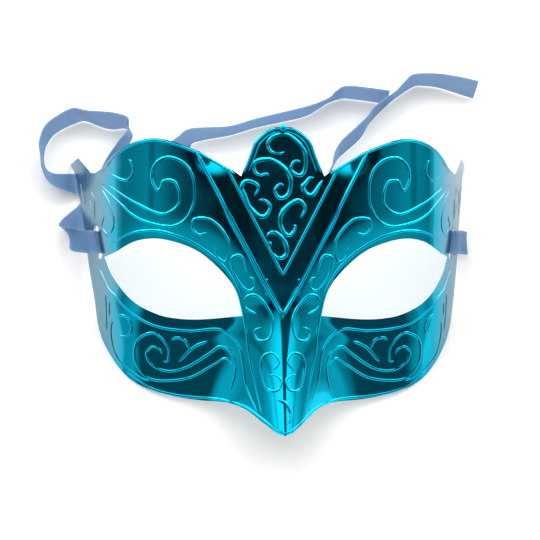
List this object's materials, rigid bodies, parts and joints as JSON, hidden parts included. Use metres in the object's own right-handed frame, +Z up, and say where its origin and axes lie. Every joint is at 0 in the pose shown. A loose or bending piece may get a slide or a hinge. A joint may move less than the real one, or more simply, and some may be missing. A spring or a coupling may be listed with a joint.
{
  "type": "carnival half mask",
  "caption": "Thin moulded half mask with almond eye openings, raised line scrolls, a crown lobe and a pointed nose, tied by a satin ribbon through a slot in each temple.",
  "frame": {"origin": "middle of the mask's box on the table plane it lies on, ribbons left out", "axes": "+Z up off the table, out of the face; +Y towards the crown; +X towards the wearer's left temple, on the viewer's right"},
  "size_m": [0.1926, 0.1696, 0.0588],
  "materials": {
    "metallised_plastic": "mirror-bright teal metallised front",
    "satin_ribbon": "light blue satin"
  },
  "bodies": {
    "root": {"mask_shell": "metallised_plastic", "ribbon_left": "satin_ribbon", "ribbon_right": "satin_ribbon"}
  },
  "joints": []
}
